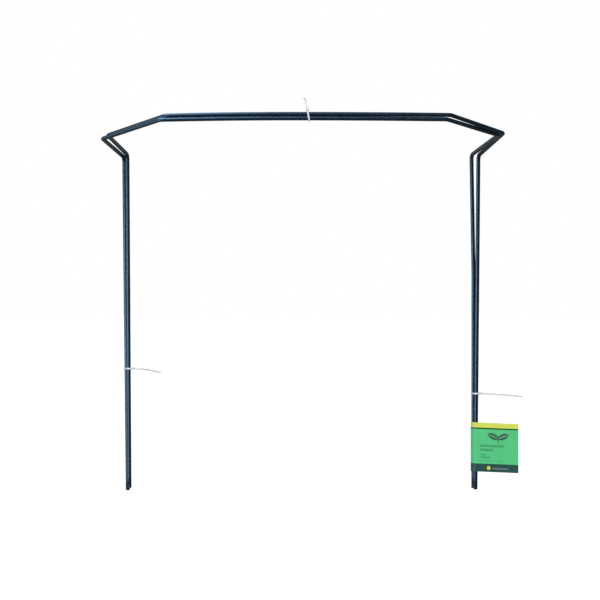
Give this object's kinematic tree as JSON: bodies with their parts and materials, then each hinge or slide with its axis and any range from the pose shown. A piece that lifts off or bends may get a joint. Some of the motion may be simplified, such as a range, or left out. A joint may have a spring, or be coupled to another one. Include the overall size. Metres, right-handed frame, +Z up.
{
  "type": "bow plant support pack",
  "caption": "Nested pair of bay-fronted bow plant supports in coated steel rod, tied together and carrying a folded card label.",
  "frame": {"origin": "ground level, midway between the legs, at the rear hoop's leg plane", "axes": "+X to the side with the card label, along the hoops' width; +Y away from the bow, so the bow stands out towards -Y; +Z up the legs"},
  "size_m": [0.6322, 0.2452, 0.5789],
  "materials": {
    "steel_core": "drawn wire",
    "coating": "semi-gloss dark blue-green coating",
    "foot_cap": "satin moulded",
    "cable_tie": "translucent natural nylon",
    "card_label": "satin printed card"
  },
  "bodies": {
    "root": {"rear_hoop_core": "steel_core", "rear_hoop_coating": "coating", "rear_left_foot_cap": "foot_cap", "rear_right_foot_cap": "foot_cap", "front_hoop_core": "steel_core", "front_hoop_coating": "coating", "front_left_foot_cap": "foot_cap", "front_right_foot_cap": "foot_cap", "cable_tie_top": "cable_tie", "cable_tie_left": "cable_tie", "cable_tie_right": "cable_tie"},
    "label_sleeve": {"label_sleeve": "card_label"},
    "label_flag": {"label_flag": "card_label"}
  },
  "joints": [
    {"name": "label_slide", "type": "slide", "parent": "root", "child": "label_sleeve", "axis": [0, 0, 1], "range_m": [-0.024, 0.034]},
    {"name": "label_swing", "type": "hinge", "parent": "label_sleeve", "child": "label_flag", "pos_m": [0.26832, -0.0096, 0], "axis": [0, 0, 1], "range_deg": [-75, 75], "stiffness_Nm_per_rad": 0.002}
  ]
}
